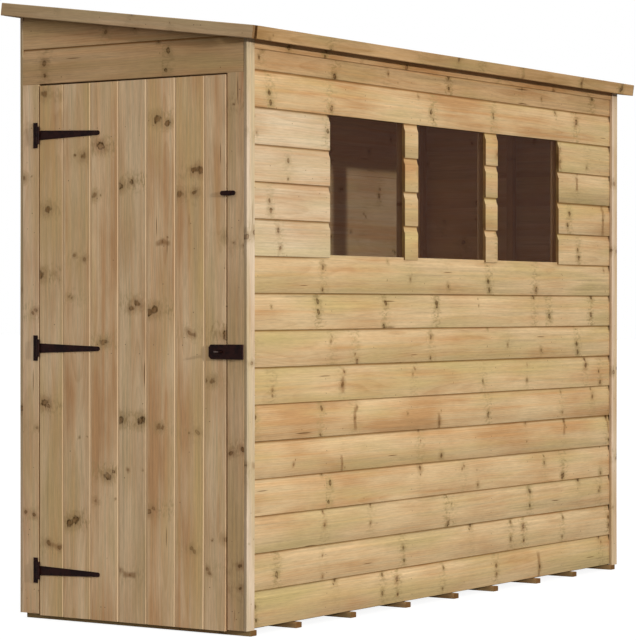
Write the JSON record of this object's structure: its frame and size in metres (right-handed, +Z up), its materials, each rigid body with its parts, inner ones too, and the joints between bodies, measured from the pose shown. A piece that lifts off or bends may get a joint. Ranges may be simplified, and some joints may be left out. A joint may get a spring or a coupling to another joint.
{
  "type": "wooden garden shed",
  "caption": "Lean-to timber garden shed of coved shiplap boards with a band of fixed windows, a felted roof and a plank door on tee hinges, with hasp, staple and turn button.",
  "frame": {"origin": "on the ground, under the middle of the roof's outer edges", "axes": "+X along the window wall away from the door end, +Y from the window wall to the high back wall, +Z up"},
  "size_m": [2.488, 0.9842, 1.949],
  "materials": {
    "floor_timber": "pressure-treated sawn pine",
    "wall_boards": "planed pressure-treated pine shiplap with knots",
    "door_end_boards": "planed pressure-treated pine with knots",
    "frame_timber": "sawn pressure-treated pine",
    "corner_timber": "planed pale pine",
    "fascia_timber": "planed pressure-treated pine",
    "roof_timber": "sawn pine boards",
    "roof_felt": "mineral-faced bitumen felt",
    "glazing": "clear styrene sheet",
    "black_metal": "black japanned steel"
  },
  "bodies": {
    "shed": {"floor_bearers": "floor_timber", "floor_deck": "floor_timber", "front_boards_below": "wall_boards", "front_boards_above": "wall_boards", "front_boards_left": "wall_boards", "front_boards_right": "wall_boards", "window_mullions": "wall_boards", "back_boards": "wall_boards", "far_end_boards": "wall_boards", "door_header": "door_end_boards", "hinge_board": "door_end_boards", "latch_board": "door_end_boards", "front_studs": "frame_timber", "front_rails": "frame_timber", "window_rails": "frame_timber", "back_studs": "frame_timber", "back_rails": "frame_timber", "door_posts": "frame_timber", "door_head_rail": "frame_timber", "far_end_studs": "frame_timber", "far_end_rail": "frame_timber", "end_top_rails": "frame_timber", "roof_purlin": "frame_timber", "front_corner_strips": "corner_timber", "back_corner_strips": "corner_timber", "eave_batten": "corner_timber", "eave_fascia": "fascia_timber", "back_fascia": "fascia_timber", "door_end_bargeboard": "fascia_timber", "far_end_bargeboard": "fascia_timber", "roof_deck": "roof_timber", "roof_felt": "roof_felt", "near_window": "glazing", "middle_window": "glazing", "far_window": "glazing", "hinge_plates": "black_metal", "hasp_leaf": "black_metal", "button_screw": "black_metal"},
    "door": {"door_boards": "door_end_boards", "door_ledges": "frame_timber", "door_braces": "frame_timber", "hinge_straps": "black_metal", "hasp_staple": "black_metal"},
    "hasp": {"hasp_strap": "black_metal"},
    "turn_button": {"turn_button": "black_metal"}
  },
  "joints": [
    {"name": "door_swing", "type": "hinge", "parent": "shed", "child": "door", "pos_m": [-1.2095, 0.36787, 0.856], "axis": [0, 0, -1], "range_deg": [0, 170]},
    {"name": "hasp_swing", "type": "hinge", "parent": "shed", "child": "hasp", "pos_m": [-1.2095, -0.42113, 0.851], "axis": [0, 0, 1], "range_deg": [0, 170]},
    {"name": "button_turn", "type": "hinge", "parent": "shed", "child": "turn_button", "pos_m": [-1.209, -0.37763, 1.327], "axis": [-1, 0, 0], "range_deg": [0, 90]}
  ]
}
